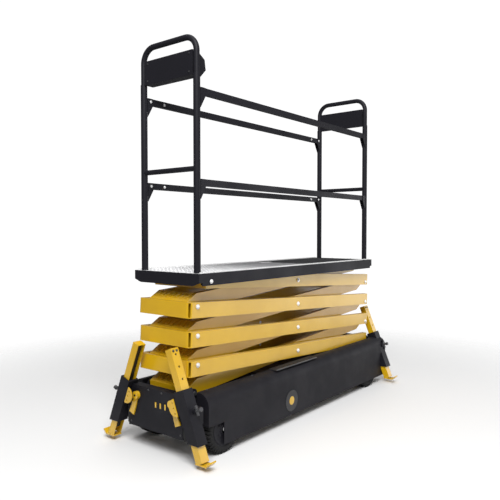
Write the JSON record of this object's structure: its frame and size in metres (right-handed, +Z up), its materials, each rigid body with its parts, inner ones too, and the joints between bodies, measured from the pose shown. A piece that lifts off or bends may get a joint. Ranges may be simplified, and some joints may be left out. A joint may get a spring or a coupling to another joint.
{
  "type": "mobile scissor lift platform",
  "caption": "Narrow wheeled scissor lift platform with folding scissor frames, a railed deck, side covers, twin tyres, leaning stabiliser legs and a control console.",
  "frame": {"origin": "on the floor under the middle of the overall box", "axes": "+X along the machine, away from the console end; -Y is the right side cover; +Z up"},
  "size_m": [2.566, 0.9544, 2.5684],
  "materials": {
    "yellow_paint": "gloss yellow enamel on steel",
    "black_paint": "satin black-grey enamel on steel",
    "cover_grey": "satin charcoal cover",
    "trim_grey": "grey plastic",
    "deck_metal": "grip-textured aluminium",
    "bare_steel": "zinc-plated steel",
    "dark_steel": "phosphated dark steel",
    "chrome_rod": "chromed steel",
    "tyre_rubber": "black rubber with lugs",
    "black_rubber": "black rubber",
    "battery_case": "black battery case",
    "red_plastic": "red button",
    "green_plastic": "green button",
    "charcoal_paint": "satin charcoal powder coat"
  },
  "bodies": {
    "chassis": {"chassis_frame": "black_paint", "side_cover_right": "cover_grey", "side_cover_left": "cover_grey", "near_panel": "black_paint", "far_panel": "black_paint", "cover_trim": "trim_grey", "base_pins": "bare_steel", "base_tracks": "black_paint", "battery_box": "battery_case", "power_pack": "black_paint", "axles": "bare_steel", "leg_sleeves_near": "black_paint", "leg_sleeves_far": "black_paint", "sector_plates": "yellow_paint", "corner_bumpers": "black_rubber"},
    "inner_frame_1": {"inner_frame_1": "yellow_paint"},
    "outer_frame_1": {"outer_frame_1": "yellow_paint", "frame_pins_1": "bare_steel"},
    "inner_frame_2": {"inner_frame_2": "yellow_paint"},
    "outer_frame_2": {"outer_frame_2": "yellow_paint", "frame_pins_2": "bare_steel"},
    "inner_frame_3": {"inner_frame_3": "yellow_paint"},
    "outer_frame_3": {"outer_frame_3": "yellow_paint", "frame_pins_3": "bare_steel"},
    "inner_frame_4": {"inner_frame_4": "yellow_paint"},
    "outer_frame_4": {"outer_frame_4": "yellow_paint", "frame_pins_4": "bare_steel"},
    "base_rollers": {"base_rollers": "bare_steel"},
    "deck_rollers": {"deck_rollers": "bare_steel"},
    "cylinder_barrel": {"cylinder_barrel": "black_paint"},
    "cylinder_rod": {"cylinder_rod": "chrome_rod"},
    "platform": {"platform_frame": "charcoal_paint", "deck_grating": "deck_metal", "deck_tracks": "black_paint", "end_frame_near": "charcoal_paint", "end_frame_far": "charcoal_paint", "hoops": "charcoal_paint", "side_rails": "charcoal_paint", "rail_brackets": "charcoal_paint", "control_console": "charcoal_paint", "control_box_far": "charcoal_paint"},
    "joystick": {"joystick": "black_rubber"},
    "stop_button": {"stop_button": "red_plastic"},
    "drive_button": {"drive_button": "green_plastic"},
    "wheel_near_right": {"wheel_near_right": "tyre_rubber"},
    "leg_near_right": {"leg_near_right": "yellow_paint"},
    "index_pin_near_right": {"index_pin_near_right": "dark_steel"},
    "lever_near_right": {"lever_near_right": "yellow_paint"},
    "wheel_near_left": {"wheel_near_left": "tyre_rubber"},
    "leg_near_left": {"leg_near_left": "yellow_paint"},
    "index_pin_near_left": {"index_pin_near_left": "dark_steel"},
    "lever_near_left": {"lever_near_left": "yellow_paint"},
    "wheel_far_right": {"wheel_far_right": "tyre_rubber"},
    "leg_far_right": {"leg_far_right": "yellow_paint"},
    "index_pin_far_right": {"index_pin_far_right": "dark_steel"},
    "lever_far_right": {"lever_far_right": "yellow_paint"},
    "wheel_far_left": {"wheel_far_left": "tyre_rubber"},
    "leg_far_left": {"leg_far_left": "yellow_paint"},
    "index_pin_far_left": {"index_pin_far_left": "dark_steel"},
    "lever_far_left": {"lever_far_left": "yellow_paint"}
  },
  "joints": [
    {"name": "lift", "type": "hinge", "parent": "chassis", "child": "inner_frame_1", "pos_m": [-1.1, 0, 0.378], "axis": [0, -1, 0], "range_deg": [0, 25]},
    {"name": "centre_pivot_1", "type": "hinge", "parent": "inner_frame_1", "child": "outer_frame_1", "pos_m": [0, 0, 0.4675], "axis": [0, -1, 0], "range_deg": [-50, 0]},
    {"name": "near_pivot_1", "type": "hinge", "parent": "outer_frame_1", "child": "inner_frame_2", "pos_m": [-1.1, 0, 0.557], "axis": [0, -1, 0], "range_deg": [0, 50]},
    {"name": "centre_pivot_2", "type": "hinge", "parent": "inner_frame_2", "child": "outer_frame_2", "pos_m": [0, 0, 0.6465], "axis": [0, -1, 0], "range_deg": [-50, 0]},
    {"name": "near_pivot_2", "type": "hinge", "parent": "outer_frame_2", "child": "inner_frame_3", "pos_m": [-1.1, 0, 0.736], "axis": [0, -1, 0], "range_deg": [0, 50]},
    {"name": "centre_pivot_3", "type": "hinge", "parent": "inner_frame_3", "child": "outer_frame_3", "pos_m": [0, 0, 0.8255], "axis": [0, -1, 0], "range_deg": [-50, 0]},
    {"name": "near_pivot_3", "type": "hinge", "parent": "outer_frame_3", "child": "inner_frame_4", "pos_m": [-1.1, 0, 0.915], "axis": [0, -1, 0], "range_deg": [0, 50]},
    {"name": "centre_pivot_4", "type": "hinge", "parent": "inner_frame_4", "child": "outer_frame_4", "pos_m": [0, 0, 1.0045], "axis": [0, -1, 0], "range_deg": [-50, 0]},
    {"name": "platform_pivot", "type": "hinge", "parent": "outer_frame_4", "child": "platform", "pos_m": [-1.04, 0, 1.06828], "axis": [0, -1, 0], "range_deg": [0, 25]},
    {"name": "base_roller_spin", "type": "hinge", "parent": "outer_frame_1", "child": "base_rollers", "pos_m": [1.1, 0, 0.378], "axis": [0, 1, 0], "continuous": true},
    {"name": "deck_roller_spin", "type": "hinge", "parent": "inner_frame_4", "child": "deck_rollers", "pos_m": [1.04, 0, 1.06828], "axis": [0, 1, 0], "continuous": true},
    {"name": "cylinder_swing", "type": "hinge", "parent": "chassis", "child": "cylinder_barrel", "pos_m": [-0.67924, 0, 0.10788], "axis": [0, -1, 0], "range_deg": [0, 12.5]},
    {"name": "cylinder_stroke", "type": "slide", "parent": "cylinder_barrel", "child": "cylinder_rod", "axis": [0.2402, 0, 0.9707], "range_m": [0, 0.19725]},
    {"name": "wheel_spin_near_right", "type": "hinge", "parent": "chassis", "child": "wheel_near_right", "pos_m": [-0.97, -0.275, 0.15], "axis": [0, 1, 0], "continuous": true},
    {"name": "leg_slide_near_right", "type": "slide", "parent": "chassis", "child": "leg_near_right", "axis": [0, -0.3746, -0.9272], "range_m": [-0.1, 0.03]},
    {"name": "index_pull_near_right", "type": "slide", "parent": "chassis", "child": "index_pin_near_right", "axis": [0, -0.9272, 0.3746], "range_m": [0, 0.012], "stiffness_N_per_m": 600},
    {"name": "lever_swing_near_right", "type": "hinge", "parent": "chassis", "child": "lever_near_right", "pos_m": [-1.24, -0.16, 0.338], "axis": [1, 0, 0], "range_deg": [0, 70]},
    {"name": "wheel_spin_near_left", "type": "hinge", "parent": "chassis", "child": "wheel_near_left", "pos_m": [-0.97, 0.275, 0.15], "axis": [0, 1, 0], "continuous": true},
    {"name": "leg_slide_near_left", "type": "slide", "parent": "chassis", "child": "leg_near_left", "axis": [0, 0.3746, -0.9272], "range_m": [-0.1, 0.03]},
    {"name": "index_pull_near_left", "type": "slide", "parent": "chassis", "child": "index_pin_near_left", "axis": [0, 0.9272, 0.3746], "range_m": [0, 0.012], "stiffness_N_per_m": 600},
    {"name": "lever_swing_near_left", "type": "hinge", "parent": "chassis", "child": "lever_near_left", "pos_m": [-1.24, 0.16, 0.338], "axis": [-1, 0, 0], "range_deg": [0, 70]},
    {"name": "wheel_spin_far_right", "type": "hinge", "parent": "chassis", "child": "wheel_far_right", "pos_m": [0.97, -0.275, 0.15], "axis": [0, 1, 0], "continuous": true},
    {"name": "leg_slide_far_right", "type": "slide", "parent": "chassis", "child": "leg_far_right", "axis": [0, -0.3746, -0.9272], "range_m": [-0.1, 0.03]},
    {"name": "index_pull_far_right", "type": "slide", "parent": "chassis", "child": "index_pin_far_right", "axis": [0, -0.9272, 0.3746], "range_m": [0, 0.012], "stiffness_N_per_m": 600},
    {"name": "lever_swing_far_right", "type": "hinge", "parent": "chassis", "child": "lever_far_right", "pos_m": [1.24, -0.16, 0.338], "axis": [1, 0, 0], "range_deg": [0, 70]},
    {"name": "wheel_spin_far_left", "type": "hinge", "parent": "chassis", "child": "wheel_far_left", "pos_m": [0.97, 0.275, 0.15], "axis": [0, 1, 0], "continuous": true},
    {"name": "leg_slide_far_left", "type": "slide", "parent": "chassis", "child": "leg_far_left", "axis": [0, 0.3746, -0.9272], "range_m": [-0.1, 0.03]},
    {"name": "index_pull_far_left", "type": "slide", "parent": "chassis", "child": "index_pin_far_left", "axis": [0, 0.9272, 0.3746], "range_m": [0, 0.012], "stiffness_N_per_m": 600},
    {"name": "lever_swing_far_left", "type": "hinge", "parent": "chassis", "child": "lever_far_left", "pos_m": [1.24, 0.16, 0.338], "axis": [-1, 0, 0], "range_deg": [0, 70]},
    {"name": "stop_press", "type": "slide", "parent": "platform", "child": "stop_button", "axis": [-0.5421, 0, -0.8403], "range_m": [0, 0.005], "stiffness_N_per_m": 400, "springref_m": -0.002},
    {"name": "drive_press", "type": "slide", "parent": "platform", "child": "drive_button", "axis": [-0.5421, 0, -0.8403], "range_m": [0, 0.004], "stiffness_N_per_m": 400, "springref_m": -0.002},
    {"name": "joystick_tilt", "type": "hinge", "parent": "platform", "child": "joystick", "pos_m": [-1.044, 0, 2.445], "axis": [0, 1, 0], "range_deg": [-15, 15], "stiffness_Nm_per_rad": 0.6}
  ],
  "couplings": [
    {"joint": "centre_pivot_1", "follows": "lift", "ratio": -2},
    {"joint": "near_pivot_1", "follows": "lift", "ratio": 2},
    {"joint": "centre_pivot_2", "follows": "lift", "ratio": -2},
    {"joint": "near_pivot_2", "follows": "lift", "ratio": 2},
    {"joint": "centre_pivot_3", "follows": "lift", "ratio": -2},
    {"joint": "near_pivot_3", "follows": "lift", "ratio": 2},
    {"joint": "centre_pivot_4", "follows": "lift", "ratio": -2},
    {"joint": "platform_pivot", "follows": "lift", "ratio": 1},
    {"joint": "cylinder_swing", "follows": "lift", "ratio": 0.5},
    {"joint": "cylinder_stroke", "follows": "lift", "m_per_rad": 0.45207}
  ]
}
